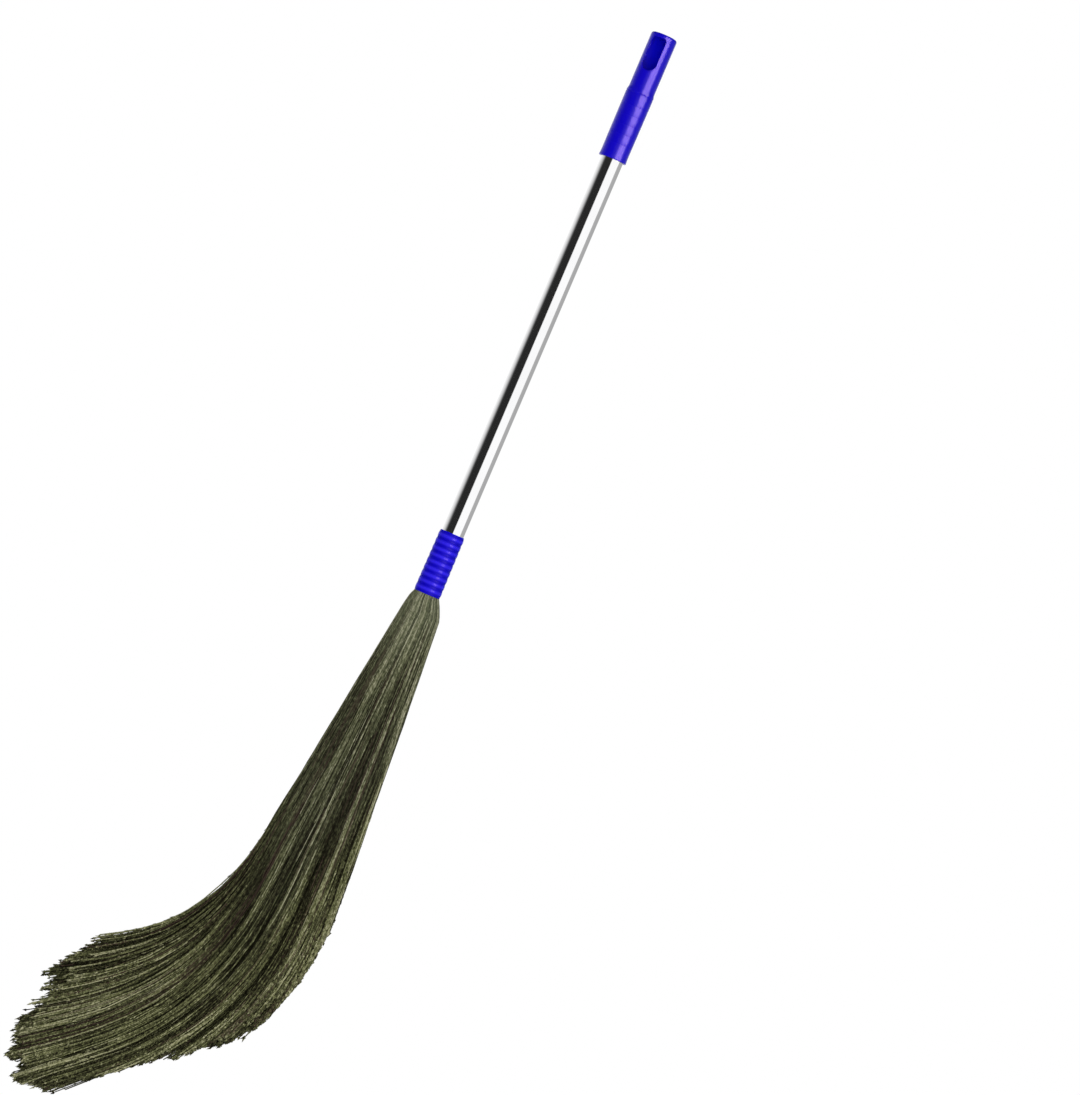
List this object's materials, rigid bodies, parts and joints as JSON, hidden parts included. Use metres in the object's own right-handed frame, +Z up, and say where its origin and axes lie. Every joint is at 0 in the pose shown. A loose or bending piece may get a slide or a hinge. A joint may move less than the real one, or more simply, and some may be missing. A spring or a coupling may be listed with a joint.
{
  "type": "straw broom",
  "caption": "Hand broom: a fan of dry grass swept to one side, bound into a ribbed collar on a slim steel tube handle with a slotted hanging grip.",
  "frame": {"origin": "on the handle's axis at the upper edge of the grip's hanging slot, where a hook carries the broom", "axes": "+Z up along the handle to the grip's top; the fan of grass hangs below, flat in the XZ plane, with its tips swept towards -X; the slot faces -Y, turned 15 degrees towards -X"},
  "size_m": [0.2361, 0.0871, 1.1128],
  "materials": {
    "grip_plastic": "smooth moulded blue plastic, satin gloss",
    "collar_plastic": "smooth moulded blue plastic, satin gloss",
    "tube_steel": "polished bright steel tube",
    "plug_wood": "turned bare softwood",
    "nail_steel": "bright wire nail",
    "binding_steel": "bright binding wire",
    "dry_grass": "dry grass stalks, matt, grey-green to straw"
  },
  "bodies": {
    "root": {"grip": "grip_plastic", "handle_tube": "tube_steel", "collar": "collar_plastic", "tube_plug": "plug_wood", "centre_nail": "nail_steel", "binding_wire_upper": "binding_steel", "binding_wire_lower": "binding_steel", "grass_hank_01": "dry_grass", "grass_hank_02": "dry_grass", "grass_hank_03": "dry_grass", "grass_hank_04": "dry_grass", "grass_hank_05": "dry_grass", "grass_hank_06": "dry_grass", "grass_hank_07": "dry_grass", "grass_hank_08": "dry_grass", "grass_hank_09": "dry_grass", "grass_hank_10": "dry_grass", "grass_hank_11": "dry_grass", "grass_hank_12": "dry_grass", "grass_hank_13": "dry_grass", "grass_hank_14": "dry_grass", "grass_hank_15": "dry_grass", "grass_hank_16": "dry_grass"}
  },
  "joints": []
}
